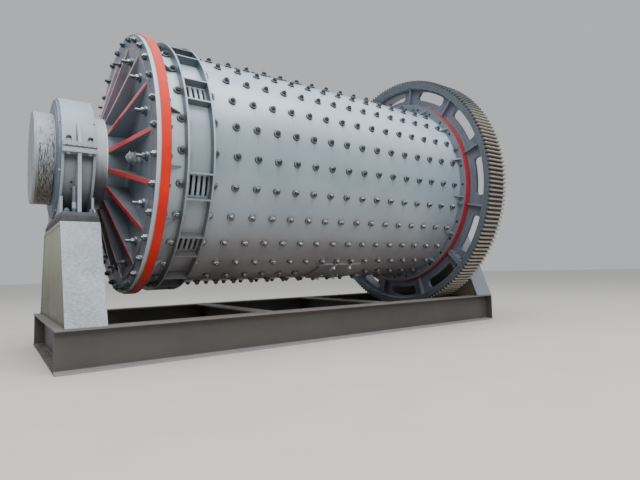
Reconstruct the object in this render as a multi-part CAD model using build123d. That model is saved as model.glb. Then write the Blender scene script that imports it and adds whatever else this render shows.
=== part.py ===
from build123d import *
import math
import os

# Rod mill with a peripheral discharge ring: a bolted shell on two trunnion bearings, over an open beam frame.
# X runs along the mill axis from the discharge end to the drive end, Y across it, Z up.
# The origin is on the ground, below the middle of the shell. All sizes are in millimetres.

# Mill axis
axis_height = 2130

# Shell
shell_bore = 2700
shell_plate = 30
shell_length = 4500
flange_diameter = 3000
flange_thickness = 90
liner_rows = 27
liner_row_phase = 129.7

# Gussets between the shell and its end flanges
gusset_count = 16
gusset_phase = 189.9
gusset_leg = 135
gusset_reach = 88
gusset_thickness = 16

# Discharge ring: two annular plates with pairs of dividers, each pair round one slotted window
ring_outer_diameter = 2940
ring_plate = 18
ring_offset = 258
ring_cell_width = 246
divider_thickness = 16
divider_spacing = 262
first_window_rows = (0, 2)
later_window_start = 5
window_row_step = 2
window_phase = 0.6
slot_count = 4
slot_width = 25
slot_pitch = 55
slot_length = 200
slot_offset = 14

# Manhole
manhole_centre = 450
manhole_row = 9
cover_length = 750
cover_width = 510
cover_thickness = 28
cover_chamfer = 65
manhole_length = 560
manhole_width = 380
manhole_corner = 60

# Heads, with their necks and journals
head_diameter = 2970
head_flange = 40
boss_diameter = 2670
boss_height = 10
neck_diameter = 1030
neck_fillet = 40
journal_diameter = 980
trunnion_bore = 800
rib_count = 16
rib_phase = 152.5
rib_thickness = 45
rib_lip = 4
rib_margin = 8
rib_tip_gap = 135

# End rings, inner sleeves and the closing plate of the trunnions
end_ring_diameter = 986
end_ring_length = 158
end_cover_thickness = 20
sleeve_wall = 24
sleeve_setback = 5

# Girth gear, in two halves
gear_module = 20
gear_teeth = 188
gear_face = 360
pressure_angle = 20
root_depth = 1.25
rim_thickness = 75
gear_rim_offset = 70
gear_web = 50
gear_hub_thickness = 70
gear_hub_outer = 3050
gear_hub_bore = 2770
gear_split = 43.75
gear_bays = 6
window_margin_outer = 40
window_margin_inner = 70
window_arc = 19.4
window_corner = 55
gear_rib_thickness = 28
gear_rib_inset = 22
gear_rib_foot = 75
joint_flange = 40

# Bearings
bearing_reach = 575
bearing_rise = 690
bearing_width = 310
housing_diameter = 1338
belly_diameter = 1220
bush_seat_diameter = 1120
wall_bore = 1050
housing_wall = 24
centre_rib = 34
centre_rib_setback = 14
split_flange = 55
split_reach = 735
foot_height = 40
leg_height = 215
leg_reach = 560
cap_setback = 6
cap_rib_height = 200
cap_rib_base = 60
cap_rib_lip = 4
bush_gap = 2
bush_end_gap = 1
journal_clearance = 0.8
seal_diameter = 1288
seal_plate = 24
seal_step_diameter = 1190
seal_step = 10
seal_clearance = 5

# Sole plates and pedestals
sole_length = 1560
sole_width = 332
sole_thickness = 60
pedestal_width = 352
pedestal_top = 1580
pedestal_bottom = 2370
pedestal_side_plate = 20
pedestal_cap_plate = 30
pedestal_recess = 10

# Base frame of rolled beams
frame_width = 2380
frame_discharge_overhang = 74
beam_end_plate = 16
beam_height = 390
beam_flange = 220
beam_flange_thickness = 16
beam_web = 12
beam_root_radius = 14
cross_beam_spread = 1820

# Seats between curved faces
seat = 0.3

shell_radius = shell_bore / 2 + shell_plate
flange_radius = flange_diameter / 2
shell_half = shell_length / 2
flange_inner = shell_half - flange_thickness
ring_radius = ring_outer_diameter / 2
row_pitch = 360 / liner_rows
bearing_half = bearing_width / 2
journal_radius = journal_diameter / 2
neck_radius = neck_diameter / 2
sole_top = axis_height - bearing_rise
pedestal_height = sole_top - sole_thickness - beam_height
discharge_side = -1
drive_side = 1


def bearing_centre(side):
    # The gear's hub stands between the shell and the drive head, so the drive bearing is further out
    reach = shell_half + bearing_reach
    return -reach if side == discharge_side else reach + gear_hub_thickness


def on_axis(shape):
    return Pos(0, 0, axis_height) * shape


def tube(start, end, inner, outer):
    body = Cylinder(outer, abs(end - start)) - Cylinder(inner, abs(end - start))
    return Pos((start + end) / 2, 0, 0) * Rot(0, 90, 0) * body


def turned(profile, corner=None, radius=0):
    # The profile is a list of (x, radius) points, turned about the mill axis
    face = Plane.XZ * make_face(Polyline(*profile, close=True))
    if corner is not None:
        near = face.vertices().sort_by_distance((corner[0], 0, corner[1]))[0]
        face = fillet(near, radius)
    return revolve(face, Axis.X, 360)


def plate_at(profile, thickness):
    # A plate in the plane through the axis and +Z, drawn as (x, radius) points
    face = Plane.XZ * make_face(Polyline(*profile, close=True))
    return extrude(face, thickness / 2, both=True)


def spread(shape, count, phase):
    # Copies of a piece drawn along +Z, turned to phase and its repeats, measured from +Y
    return [Rot(phase - 90 + 360 * i / count, 0, 0) * shape for i in range(count)]


def window_angles():
    rows = list(first_window_rows)
    rows += list(range(later_window_start, liner_rows, window_row_step))
    return [liner_row_phase + window_phase + row_pitch * row for row in rows]


def ring_start():
    return -shell_half + ring_offset


def ring_centre():
    return ring_start() + ring_plate + ring_cell_width / 2


def ring_end():
    return ring_start() + 2 * ring_plate + ring_cell_width


def band_start():
    # The slotted band meets the shell's two courses below the ring plates
    return ring_start() + ring_plate / 2


def band_end():
    return ring_end() - ring_plate / 2


def window_half_angle():
    return math.degrees(divider_spacing / 2 / ring_radius)


def sector_face(inner, outer, half_angle):
    # Part of an annulus, lying evenly about the first axis
    across = math.cos(math.radians(half_angle))
    aside = math.sin(math.radians(half_angle))
    inner_start = (inner * across, -inner * aside)
    inner_end = (inner * across, inner * aside)
    outer_start = (outer * across, -outer * aside)
    outer_end = (outer * across, outer * aside)
    return make_face(Curve() + [
        ThreePointArc(inner_start, (inner, 0), inner_end),
        Line(inner_end, outer_end),
        ThreePointArc(outer_end, (outer, 0), outer_start),
        Line(outer_start, inner_start),
    ])


def band_piece(angle, half_angle):
    face = sector_face(shell_bore / 2, shell_radius, half_angle)
    return Rot(angle, 0, 0) * Pos(band_start(), 0, 0) * extrude(Plane.YZ * face, band_end() - band_start())


def discharge_grates():
    grates = []
    for angle in window_angles():
        slots = []
        for i in range(slot_count):
            x = ring_centre() + slot_offset + (i - (slot_count - 1) / 2) * slot_pitch
            slot = Pos(x, 0, shell_radius) * Box(slot_width, slot_length, 4 * shell_plate)
            slots.append(Rot(angle - 90, 0, 0) * slot)
        grates.append(on_axis(band_piece(angle, window_half_angle()) - slots))
    return Compound(children=grates)


def shell_band_segments():
    # The plain plates of the band, each from one grate to the next
    angles = window_angles()
    segments = []
    for here, after in zip(angles, angles[1:] + [angles[0] + 360]):
        half_angle = (after - here) / 2 - window_half_angle()
        segments.append(on_axis(band_piece((here + after) / 2, half_angle)))
    return Compound(children=segments)


def shell_barrel():
    body = tube(band_end(), shell_half, shell_bore / 2, shell_radius)
    outline = RectangleRounded(manhole_length, manhole_width, manhole_corner)
    hole = extrude(outline, 4 * shell_plate, both=True)
    return on_axis(body - manhole_place() * hole)


def discharge_shell_course():
    return on_axis(tube(-shell_half, band_start(), shell_bore / 2, shell_radius))


def manhole_place():
    angle = liner_row_phase + row_pitch * manhole_row
    return Rot(angle - 90, 0, 0) * Pos(manhole_centre, 0, shell_radius)


def manhole_cover():
    outline = Rectangle(cover_length, cover_width)
    outline = chamfer(outline.vertices(), cover_chamfer)
    block = manhole_place() * extrude(outline, 4 * cover_thickness, both=True)
    start = manhole_centre - cover_length
    end = manhole_centre + cover_length
    return on_axis(block & tube(start, end, shell_radius + seat, shell_radius + seat + cover_thickness))


def shell_flange(side):
    body = tube(side * flange_inner, side * shell_half, shell_radius + seat, flange_radius)
    foot = shell_radius + seat
    face = side * flange_inner
    root = face + side * flange_thickness / 2
    toe = face - side * gusset_leg
    gusset = plate_at([
        (root, foot - gusset_thickness),
        (toe, foot - gusset_thickness),
        (toe, foot),
        (face, foot + gusset_reach),
        (root, foot + gusset_reach),
    ], gusset_thickness)
    body += spread(gusset, gusset_count, gusset_phase)
    # The gussets' feet are trimmed to the curve of the shell
    body -= tube(toe - side * seat, side * shell_half, shell_radius - 2 * gusset_thickness, foot)
    return on_axis(body)


def ring_plate_at(start):
    return on_axis(tube(start, start + ring_plate, shell_radius + seat, ring_radius))


def window_dividers():
    inner = shell_radius + seat
    height = ring_radius - inner
    divider = Pos(ring_centre(), 0, inner + height / 2) * Box(ring_cell_width, divider_thickness, height)
    dividers = []
    for angle in window_angles():
        for turn in (-window_half_angle(), window_half_angle()):
            dividers.append(on_axis(Rot(angle + turn - 90, 0, 0) * divider))
    return Compound(children=dividers)


def end_ring_start(side):
    return abs(bearing_centre(side)) + bearing_half + seal_plate + seal_step + rib_margin


def head(side, seat_x):
    face = seat_x + head_flange + boss_height
    journal_start = abs(bearing_centre(side)) - bearing_half - rib_margin
    journal_end = end_ring_start(side)
    body = turned([
        (side * seat_x, trunnion_bore / 2),
        (side * seat_x, head_diameter / 2),
        (side * (seat_x + head_flange), head_diameter / 2),
        (side * (seat_x + head_flange), boss_diameter / 2),
        (side * face, boss_diameter / 2),
        (side * face, neck_radius),
        (side * journal_start, neck_radius),
        (side * journal_start, journal_radius),
        (side * journal_end, journal_radius),
        (side * journal_end, trunnion_bore / 2),
    ], (side * face, neck_radius), neck_fillet)
    tip = journal_start - rib_tip_gap
    rib = plate_at([
        (side * (face - boss_height / 2), neck_radius - neck_fillet / 2),
        (side * tip, neck_radius - neck_fillet / 2),
        (side * tip, neck_radius + rib_lip),
        (side * face, boss_diameter / 2 - rib_lip),
        (side * (face - boss_height / 2), boss_diameter / 2 - rib_lip),
    ], rib_thickness)
    body += spread(rib, rib_count, rib_phase)
    return on_axis(body)


def end_ring(side):
    start = end_ring_start(side)
    end = start + end_ring_length
    return on_axis(tube(side * start, side * end, trunnion_bore / 2, end_ring_diameter / 2))


def trunnion_sleeve(side, seat_x):
    outer = trunnion_bore / 2 - seat
    end = end_ring_start(side) + end_ring_length - sleeve_setback
    return on_axis(tube(side * seat_x, side * end, outer - sleeve_wall, outer))


def trunnion_end_cover(side):
    centre = end_ring_start(side) + end_ring_length + end_cover_thickness / 2
    cover = Rot(0, 90, 0) * Cylinder(end_ring_diameter / 2, end_cover_thickness)
    return on_axis(Pos(side * centre, 0, 0) * cover)


def tooth_points():
    # Straight-flanked points of each tooth of a half gear, from 0 to 180 degrees
    pitch_radius = gear_module * gear_teeth / 2
    levels = [
        (pitch_radius - root_depth * gear_module, -root_depth * gear_module),
        (pitch_radius, 0),
        (pitch_radius + gear_module, gear_module),
    ]
    half_at_pitch = math.pi * gear_module / 4
    slope = math.tan(math.radians(pressure_angle))
    step = 2 * math.pi / gear_teeth
    points = [(levels[0][0], 0)]
    for i in range(gear_teeth // 2):
        centre = (i + 0.5) * step
        flank = [(r, (half_at_pitch - rise * slope) / r) for r, rise in levels]
        points += [(r * math.cos(centre - a), r * math.sin(centre - a)) for r, a in flank]
        points += [(r * math.cos(centre + a), r * math.sin(centre + a)) for r, a in reversed(flank)]
    points.append((-levels[0][0], 0))
    return points


def half_disc(inner, outer, thickness, centre):
    ring = Pos(centre, 0, 0) * Rot(0, 90, 0) * (Cylinder(outer, thickness) - Cylinder(inner, thickness))
    return ring & Pos(centre, 0, outer) * Box(thickness, 4 * outer, 2 * outer)


def gear_window(inner, outer, depth, centre):
    outline = sector_face(inner, outer, window_arc / 2)
    outline = fillet(outline.vertices(), window_corner)
    return Pos(centre, 0, 0) * extrude(Plane.YZ * outline, depth, both=True)


def girth_gear_half(turn):
    centre = shell_half + gear_hub_thickness / 2
    rim_centre = centre + gear_rim_offset
    rim_inner = gear_module * gear_teeth / 2 - root_depth * gear_module - rim_thickness
    points = tooth_points()
    outline = make_face(Curve() + [
        Polyline(*points),
        Line(points[-1], (-rim_inner, 0)),
        ThreePointArc((-rim_inner, 0), (0, rim_inner), (rim_inner, 0)),
        Line((rim_inner, 0), points[0]),
    ])
    body = Pos(rim_centre, 0, 0) * extrude(Plane.YZ * outline, gear_face / 2, both=True)
    hub_radius = gear_hub_outer / 2
    web = half_disc(hub_radius - gear_rib_inset, rim_inner + gear_rib_inset, gear_web, centre)
    cutter = gear_window(hub_radius + window_margin_inner, rim_inner - window_margin_outer, gear_web, centre)
    bay = 180 / gear_bays
    web -= [Rot(bay * (i + 0.5), 0, 0) * cutter for i in range(gear_bays)]
    body += web
    body += half_disc(gear_hub_bore / 2, hub_radius, gear_hub_thickness, centre)
    reach = gear_face / 2 - gear_rib_inset
    rib = plate_at([
        (centre - gear_rib_foot, hub_radius - gear_rib_inset),
        (centre + gear_rib_foot, hub_radius - gear_rib_inset),
        (rim_centre + reach, rim_inner + gear_rib_inset / 2),
        (rim_centre - reach, rim_inner + gear_rib_inset / 2),
    ], gear_rib_thickness)
    body += [Rot(bay * i - 90, 0, 0) * rib for i in range(1, gear_bays)]
    height = rim_inner - hub_radius + gear_rib_inset
    flange_y = hub_radius - gear_rib_inset + height / 2
    for side in (-1, 1):
        body += Pos(rim_centre, side * flange_y, joint_flange / 2) * Box(2 * reach, height, joint_flange)
    return on_axis(Rot(turn, 0, 0) * body)


def i_section():
    outline = Rectangle(beam_flange, beam_height)
    pocket = Rectangle((beam_flange - beam_web) / 2, beam_height - 2 * beam_flange_thickness)
    shift = (beam_flange + beam_web) / 4
    outline -= [Pos(shift, 0) * pocket, Pos(-shift, 0) * pocket]
    roots = [v for v in outline.vertices() if abs(abs(v.X) - beam_web / 2) < seat]
    return fillet(roots, beam_root_radius)


def frame_start():
    return bearing_centre(discharge_side) - pedestal_width / 2 - frame_discharge_overhang


def frame_end():
    return bearing_centre(drive_side) + pedestal_width / 2


def side_beam(side):
    length = frame_end() - frame_start()
    y = side * (frame_width - beam_flange) / 2
    body = extrude(Plane.YZ * i_section(), length)
    # A plate closes the beam at the drive end
    body += Pos(length - beam_end_plate / 2, 0, 0) * Box(beam_end_plate, beam_flange, beam_height)
    return Pos(frame_start(), y, beam_height / 2) * body


def cross_beam(x):
    # The flanges stop at the side beams' flanges, and the web runs on to their webs
    clear = frame_width - 2 * beam_flange
    tongue = frame_width - beam_flange - beam_web
    body = extrude(Plane.XZ * i_section(), clear / 2, both=True)
    web_height = beam_height - 2 * beam_flange_thickness - 2 * beam_root_radius
    body += Box(beam_web, tongue, web_height)
    return Pos(x, 0, beam_height / 2) * body


def pedestal(side):
    top = pedestal_top / 2
    bottom = pedestal_bottom / 2
    height = pedestal_height
    outer = [(-bottom, 0), (bottom, 0), (top, height), (-top, height)]
    bottom_inner = bottom - pedestal_side_plate
    top_inner = top - pedestal_side_plate
    inner = [(-bottom_inner, 0), (bottom_inner, 0), (top_inner, height), (-top_inner, height)]
    whole = extrude(Plane.YZ * make_face(Polyline(*outer, close=True)), pedestal_width / 2, both=True)
    core = extrude(Plane.YZ * make_face(Polyline(*inner, close=True)), pedestal_width / 2, both=True)
    plates = whole - core
    core = core & Pos(0, 0, height / 2) * Box(pedestal_width - 2 * pedestal_recess, 2 * bottom, height)
    cap = Pos(0, 0, height - pedestal_cap_plate / 2) * Box(pedestal_width, 2 * top, pedestal_cap_plate)
    return Pos(bearing_centre(side), 0, beam_height) * (plates + core + cap)


def sole_plate(side):
    body = Box(sole_width, sole_length, sole_thickness)
    return Pos(bearing_centre(side), 0, sole_top - sole_thickness / 2) * body


def housing_outline(radius):
    # The round side of the housing with short straight legs at its foot, drawn about the mill axis
    drop = bearing_rise
    lower = Pos(0, -drop / 2) * Rectangle(2 * split_reach, drop)
    leg = Pos(0, leg_height / 2 - drop) * Rectangle(2 * leg_reach, leg_height)
    return (Circle(radius) & lower) + leg


def bearing_housing(side):
    drop = bearing_rise
    wall = extrude(Plane.YZ * housing_outline(housing_diameter / 2), housing_wall / 2, both=True)
    wall_x = bearing_half - housing_wall / 2
    belly = Rot(0, 90, 0) * Cylinder(belly_diameter / 2, bearing_width - 2 * seat)
    below = Pos(0, 0, -drop / 2) * Box(bearing_width, 2 * split_reach, drop)
    rib = Pos(0, 0, -drop / 2) * Box(centre_rib, 2 * (split_reach - centre_rib_setback), drop)
    body = (belly & below) + rib + Pos(wall_x, 0, 0) * wall + Pos(-wall_x, 0, 0) * wall
    body += Pos(0, 0, -drop + foot_height / 2) * Box(bearing_width, 2 * split_reach, foot_height)
    body += Pos(0, 0, -split_flange / 2) * Box(bearing_width, 2 * split_reach, split_flange)
    body -= Rot(0, 90, 0) * Cylinder(wall_bore / 2, 2 * bearing_width)
    body -= Rot(0, 90, 0) * Cylinder(bush_seat_diameter / 2, bearing_width - 2 * housing_wall)
    return Pos(bearing_centre(side), 0, axis_height) * body


def bearing_cap(side):
    radius = housing_diameter / 2
    reach = split_reach - cap_setback
    above = Pos(0, 0, radius / 2) * Box(bearing_width, 2 * split_reach, radius)
    body = Rot(0, 90, 0) * Cylinder(radius, bearing_width) & above
    body += Pos(0, 0, split_flange / 2) * Box(bearing_width, 2 * reach, split_flange)
    body -= Rot(0, 90, 0) * Cylinder(wall_bore / 2, 2 * bearing_width)
    body -= Rot(0, 90, 0) * Cylinder(bush_seat_diameter / 2, bearing_width - 2 * housing_wall)
    # A three-cornered rib stands on each flange and leans on the cap's round
    rib_top = split_flange + cap_rib_height
    lean = math.sqrt(radius ** 2 - rib_top ** 2)
    for end in (-1, 1):
        rib = make_face(Polyline(
            (end * (radius - cap_rib_base), split_flange - seat),
            (end * (reach - cap_setback), split_flange - seat),
            (end * (lean + cap_rib_lip), rib_top),
            (end * (lean - cap_rib_base / 2), rib_top),
            close=True,
        ))
        body += extrude(Plane.YZ * rib, centre_rib / 2, both=True)
    return Pos(bearing_centre(side), 0, axis_height) * body


def bearing_bush(side):
    length = bearing_width - 2 * housing_wall - 2 * bush_end_gap
    outer = bush_seat_diameter / 2 - seat
    body = Rot(0, 90, 0) * (Cylinder(outer, length) - Cylinder(journal_radius + journal_clearance, length))
    body &= Pos(0, 0, -outer / 2 - bush_gap) * Box(length, 2 * outer, outer)
    return Pos(bearing_centre(side), 0, axis_height) * body


def seal_ring(side):
    start = abs(bearing_centre(side)) + bearing_half
    step = start + seal_plate
    end = step + seal_step
    bore = journal_radius + seal_clearance
    return on_axis(turned([
        (side * start, bore),
        (side * start, seal_diameter / 2),
        (side * step, seal_diameter / 2),
        (side * step, seal_step_diameter / 2),
        (side * end, seal_step_diameter / 2),
        (side * end, bore),
    ]))


discharge_seat = shell_half
drive_seat = shell_half + gear_hub_thickness
end_beam_inset = beam_flange / 2

pieces = {
    "front_side_beam": side_beam(-1),
    "rear_side_beam": side_beam(1),
    "discharge_end_beam": cross_beam(frame_start() + end_beam_inset),
    "drive_end_beam": cross_beam(frame_end() - end_beam_inset),
    "discharge_cross_beam": cross_beam(-cross_beam_spread / 2),
    "drive_cross_beam": cross_beam(cross_beam_spread / 2),
    "shell_barrel": shell_barrel(),
    "discharge_shell_course": discharge_shell_course(),
    "discharge_grates": discharge_grates(),
    "shell_band_segments": shell_band_segments(),
    "manhole_cover": manhole_cover(),
    "discharge_shell_flange": shell_flange(discharge_side),
    "drive_shell_flange": shell_flange(drive_side),
    "discharge_ring_outer_plate": ring_plate_at(ring_start()),
    "discharge_ring_inner_plate": ring_plate_at(ring_end() - ring_plate),
    "window_dividers": window_dividers(),
    "discharge_head": head(discharge_side, discharge_seat),
    "drive_head": head(drive_side, drive_seat),
    "girth_gear_upper_half": girth_gear_half(gear_split),
    "girth_gear_lower_half": girth_gear_half(gear_split + 180),
    "discharge_trunnion_sleeve": trunnion_sleeve(discharge_side, discharge_seat),
    "drive_trunnion_sleeve": trunnion_sleeve(drive_side, drive_seat),
    "discharge_trunnion_cover": trunnion_end_cover(discharge_side),
}
for name, side in (("discharge", discharge_side), ("drive", drive_side)):
    pieces[name + "_pedestal"] = pedestal(side)
    pieces[name + "_sole_plate"] = sole_plate(side)
    pieces[name + "_bearing_housing"] = bearing_housing(side)
    pieces[name + "_bearing_cap"] = bearing_cap(side)
    pieces[name + "_bearing_bush"] = bearing_bush(side)
    pieces[name + "_seal_ring"] = seal_ring(side)
    pieces[name + "_trunnion_ring"] = end_ring(side)

os.makedirs("parts", exist_ok=True)
for name, piece in pieces.items():
    export_step(piece, "parts/" + name + ".step")
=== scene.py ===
import math
import random

import bpy
import numpy as np
from mathutils import Matrix, Vector


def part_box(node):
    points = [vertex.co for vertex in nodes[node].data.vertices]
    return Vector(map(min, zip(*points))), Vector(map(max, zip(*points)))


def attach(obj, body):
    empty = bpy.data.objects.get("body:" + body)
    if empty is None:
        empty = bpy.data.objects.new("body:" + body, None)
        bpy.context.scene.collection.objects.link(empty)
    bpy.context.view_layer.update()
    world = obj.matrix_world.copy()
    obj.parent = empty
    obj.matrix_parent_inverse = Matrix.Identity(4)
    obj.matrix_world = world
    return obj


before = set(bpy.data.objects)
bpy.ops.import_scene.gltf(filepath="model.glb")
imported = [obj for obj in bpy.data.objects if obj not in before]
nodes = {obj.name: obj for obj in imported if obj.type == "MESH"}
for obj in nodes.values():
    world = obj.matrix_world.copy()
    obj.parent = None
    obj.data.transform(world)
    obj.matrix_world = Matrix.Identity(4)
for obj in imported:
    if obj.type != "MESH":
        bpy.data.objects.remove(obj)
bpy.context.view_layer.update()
random.seed(27)
print("frame loaded:", len(nodes), "nodes")

# Sizes that several pieces share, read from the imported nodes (metres)
barrelLow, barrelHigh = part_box("shell_barrel")
flangeLow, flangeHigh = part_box("discharge_shell_flange")
headLow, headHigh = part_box("discharge_head")
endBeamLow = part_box("discharge_end_beam")[0]


def bearingMiddle(label):
    low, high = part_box(label + "_bearing_cap")
    return (low.x + high.x) / 2


mill = dict(axisHeight=(barrelLow.z + barrelHigh.z) / 2, shellRadius=(barrelHigh.y - barrelLow.y) / 2,
            shellHalf=barrelHigh.x, flangeRadius=(flangeHigh.y - flangeLow.y) / 2,
            headRadius=(headHigh.y - headLow.y) / 2, flangeThickness=0.090, headFlange=0.040,
            hubThickness=0.070, bossRadius=1.335, bossFace=0.050, neckRadius=0.515, plainNeck=0.143,
            bearingX=dict(discharge=bearingMiddle("discharge"), drive=bearingMiddle("drive")),
            bearingHalf=0.155, rows=27, rowPhase=129.7, ribs=16, ribPhase=152.5, ringCentre=1.851,
            ringRadius=1.470, beamTop=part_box("front_side_beam")[1].z, frameStart=endBeamLow.x,
            frontWeb=endBeamLow.y)
linerRows = dict(firstColumn=-1.683, pitch=0.2474, columns=16, shortColumn=-2.027, manholeX=0.450,
                 manholeRow=9, coverHalf=(0.375, 0.255), coverGap=0.05)
flangeInner = mill["shellHalf"] - mill["flangeThickness"]    # the flanges' inner faces
ribRoot = mill["shellHalf"] + mill["bossFace"]               # where the ribs leave the boss
ribTip = -mill["bearingX"]["discharge"] - mill["bearingHalf"] - mill["plainNeck"]


# Small mesh tools
def ringFaces(rings, sides, closed=False):
    # The quads between rings of points that follow each other
    faces = []
    for ring in range(rings if closed else rings - 1):
        a, b = ring * sides, (ring + 1) % rings * sides
        for k in range(sides):
            m = (k + 1) % sides
            faces.append((a + k, a + m, b + m, b + k))
    return faces


def lathe(profile, sides, closeTop=True):
    # profile: (radius, height) pairs from the bottom up, turned about Z
    verts = []
    for radius, height in profile:
        for i in range(sides):
            a = 2 * math.pi * i / sides
            verts.append((radius * math.cos(a), radius * math.sin(a), height))
    faces = ringFaces(len(profile), sides)
    if closeTop:
        faces.append(tuple(range((len(profile) - 1) * sides, len(profile) * sides)))
    return verts, faces


def joinShapes(shapes):
    verts, faces = [], []
    for v, f in shapes:
        start = len(verts)
        verts += list(v)
        faces += [tuple(i + start for i in face) for face in f]
    return verts, faces


def addPiece(name, shapes, finish, body, sharp=35):
    verts, faces = joinShapes(shapes)
    mesh = bpy.data.meshes.new(name)
    mesh.from_pydata([tuple(v) for v in verts], [], faces)
    mesh.validate()
    mesh.update()
    mesh.shade_smooth()
    mesh.set_sharp_from_angle(angle=math.radians(sharp))
    piece = bpy.data.objects.new(name, mesh)
    bpy.context.scene.collection.objects.link(piece)
    mesh.materials.append(finishes[finish])
    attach(piece, body)


# Each bolt: its washer's foot, rim and height, its nut's width and height, its stud's radius and length, and
# the sides of its washer
bolts = {
    "liner": (0.045, 0.039, 0.018, 0.050, 0.026, 0.015, 0.009, 24),
    "flange": (0.036, 0.034, 0.005, 0.058, 0.030, 0.018, 0.014, 16),
    "flangeBack": (0.036, 0.034, 0.005, 0.050, 0.020, 0.018, 0.004, 16),
    "head": (0.047, 0.038, 0.020, 0.055, 0.030, 0.017, 0.058, 20),
    "capNut": (0.027, 0.025, 0.004, 0.043, 0.028, 0.011, 0.008, 24),
    "capHead": (0.027, 0.025, 0.003, 0.038, 0.015, 0.008, 0.004, 24),
    "footNut": (0.033, 0.031, 0.005, 0.045, 0.026, 0.014, 0.010, 24),
    "screw": (0.013, 0.012, 0.002, 0.015, 0.007, 0.004, 0.004, 24),
    "gearJoint": (0.029, 0.027, 0.005, 0.042, 0.024, 0.013, 0.010, 24),
    "clamp": (0.022, 0.021, 0.004, 0.034, 0.018, 0.009, 0.010, 24),
}


def boltShape(kind):
    # A washer, a chamfered hex nut and the end of its stud, standing on Z = 0
    foot, rim, washerTop, across, nutHeight, stud, studLength, sides = bolts[kind]
    nutRadius, nutTop = across / math.sqrt(3), washerTop + nutHeight
    studTop = nutTop + studLength
    washer = lathe([(foot, 0), (foot * 0.985, washerTop * 0.72), (rim, washerTop),
                    (nutRadius * 0.8, washerTop)], sides, closeTop=False)
    nut = lathe([(nutRadius * 0.94, washerTop - 0.001), (nutRadius, washerTop + 0.003),
                 (nutRadius, nutTop - 0.004), (nutRadius * 0.9, nutTop)], 6)
    tip = lathe([(stud, nutTop - 0.001), (stud, studTop - 0.003), (stud * 0.84, studTop)], 12)
    return joinShapes((washer, nut, tip))


def placed(shape, normal, along, origin, spin=0.0):
    # Puts the shape's Z along normal and its X along along, turned by spin
    z = Vector(normal).normalized()
    x = Vector(along) - Vector(along).dot(z) * z
    x.normalize()
    turn = Matrix((x, z.cross(x), z)).transposed()
    matrix = Matrix.Translation(origin) @ (turn @ Matrix.Rotation(spin, 3, "Z")).to_4x4()
    verts, faces = shape
    m = np.array(matrix)
    v = np.array(verts, float) @ m[:3, :3].T + m[:3, 3]
    return v.tolist(), faces


def radial(x, radius, degrees):
    # A point beside the mill axis: degrees run from +Y towards +Z
    a = math.radians(degrees)
    return Vector((x, radius * math.cos(a), mill["axisHeight"] + radius * math.sin(a)))


def outward(degrees):
    a = math.radians(degrees)
    return Vector((0, math.cos(a), math.sin(a)))


def roundTheAxis(shape, x, radius, turn, spin=0.0):
    # The shape points away from the axis
    return placed(shape, outward(turn), (1, 0, 0), radial(x, radius, turn), spin)


def onTheFace(shape, direction, x, radius, turn, spin=0.0):
    # The shape points along the axis
    return placed(shape, (direction, 0, 0), outward(turn), radial(x, radius, turn), spin)


def upright(shape, x, y, z, spin=0.0, direction=1):
    return placed(shape, (0, 0, direction), (1, 0, 0), (x, y, z), spin)


def bead(points, radius, closed=False, sides=6, ripple=0.14, seed=1):
    # A weld run: a thin rope of metal along points, with its frozen ripples
    points = np.array([tuple(p) for p in points], float)
    count = len(points)
    if closed:
        tangent = np.roll(points, -1, 0) - np.roll(points, 1, 0)
    else:
        tangent = np.gradient(points, axis=0)
    tangent /= np.linalg.norm(tangent, axis=1)[:, None]
    helper = np.where(np.abs(tangent[:, :1]) > 0.8, [[0.0, 1.0, 0.3]], [[1.0, 0.0, 0.0]])
    side = np.cross(tangent, helper)
    side /= np.linalg.norm(side, axis=1)[:, None]
    up = np.cross(side, tangent)
    rng = np.random.default_rng(seed)
    swell = 1 + ripple * np.sin(np.arange(count) * math.pi / 2) + rng.normal(0, ripple / 3, count)
    angles = np.arange(sides) * 2 * math.pi / sides
    ring = np.cos(angles)[None, :, None] * side[:, None] + np.sin(angles)[None, :, None] * up[:, None]
    verts = points[:, None] + ring * (radius * swell)[:, None, None]
    faces = ringFaces(count, sides, closed)
    if not closed:
        faces.append(tuple(reversed(range(sides))))
        faces.append(tuple(range((count - 1) * sides, count * sides)))
    return verts.reshape(-1, 3).tolist(), faces


# Node-building tools
def linear(hexColour):
    parts = [int(hexColour[i:i + 2], 16) / 255 for i in (0, 2, 4)]
    return tuple([p / 12.92 if p <= 0.04045 else ((p + 0.055) / 1.055) ** 2.4 for p in parts] + [1.0])


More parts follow.
